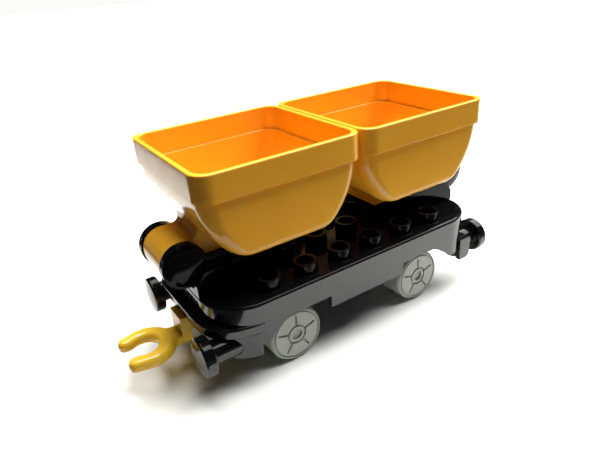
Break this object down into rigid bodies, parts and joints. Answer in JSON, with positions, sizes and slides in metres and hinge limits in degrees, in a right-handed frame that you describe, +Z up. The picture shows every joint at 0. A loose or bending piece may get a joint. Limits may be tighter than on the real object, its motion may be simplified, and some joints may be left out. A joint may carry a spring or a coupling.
{
  "type": "toy mine cart wagon with tipping hoppers",
  "caption": "Toy railway wagon with end-hinged hopper buckets that tip outwards, studded deck, rolling wheelsets, round buffers and a swinging fork hook.",
  "frame": {"origin": "centre of the overall footprint, on the plane the wheels stand on", "axes": "+X along the wagon away from its hook, +Y across it, +Z up"},
  "size_m": [0.1647, 0.065, 0.0857],
  "materials": {
    "black_plastic": "moulded gloss",
    "bucket_plastic": "moulded gloss",
    "hook_plastic": "moulded satin gloss",
    "wheel_plastic": "moulded satin",
    "steel": "drawn wire"
  },
  "bodies": {
    "chassis": {"chassis_shell": "black_plastic", "front_axle_carrier": "black_plastic", "rear_axle_carrier": "black_plastic", "front_beam": "black_plastic", "rear_beam": "black_plastic", "front_near_buffer": "black_plastic", "front_far_buffer": "black_plastic", "rear_near_buffer": "black_plastic", "rear_far_buffer": "black_plastic", "front_bumper_bar": "black_plastic", "front_tipper_holder": "black_plastic", "rear_tipper_holder": "black_plastic", "front_hinge_pin": "steel", "rear_hinge_pin": "steel", "front_hinge_caps": "black_plastic", "rear_hinge_caps": "black_plastic", "hook_pivot_pin": "steel", "rear_coupling_pin": "black_plastic"},
    "front_wheelset": {"front_axle": "steel", "front_near_wheel": "wheel_plastic", "front_far_wheel": "wheel_plastic"},
    "rear_wheelset": {"rear_axle": "steel", "rear_near_wheel": "wheel_plastic", "rear_far_wheel": "wheel_plastic"},
    "front_hopper": {"front_bucket": "bucket_plastic"},
    "rear_hopper": {"rear_bucket": "bucket_plastic"},
    "drawhook": {"hook": "hook_plastic"}
  },
  "joints": [
    {"name": "front_wheelset_roll", "type": "hinge", "parent": "chassis", "child": "front_wheelset", "pos_m": [-0.02355, 0, 0.012], "axis": [0, 1, 0], "continuous": true},
    {"name": "rear_wheelset_roll", "type": "hinge", "parent": "chassis", "child": "rear_wheelset", "pos_m": [0.04085, 0, 0.012], "axis": [0, 1, 0], "continuous": true},
    {"name": "front_hopper_tip", "type": "hinge", "parent": "chassis", "child": "front_hopper", "pos_m": [-0.05665, 0, 0.0483], "axis": [0, -1, 0], "range_deg": [0, 105]},
    {"name": "rear_hopper_tip", "type": "hinge", "parent": "chassis", "child": "rear_hopper", "pos_m": [0.07395, 0, 0.0483], "axis": [0, 1, 0], "range_deg": [0, 105]},
    {"name": "hook_swing", "type": "hinge", "parent": "chassis", "child": "drawhook", "pos_m": [-0.04085, 0, 0.0186], "axis": [0, 0, 1], "range_deg": [-15, 15]}
  ]
}
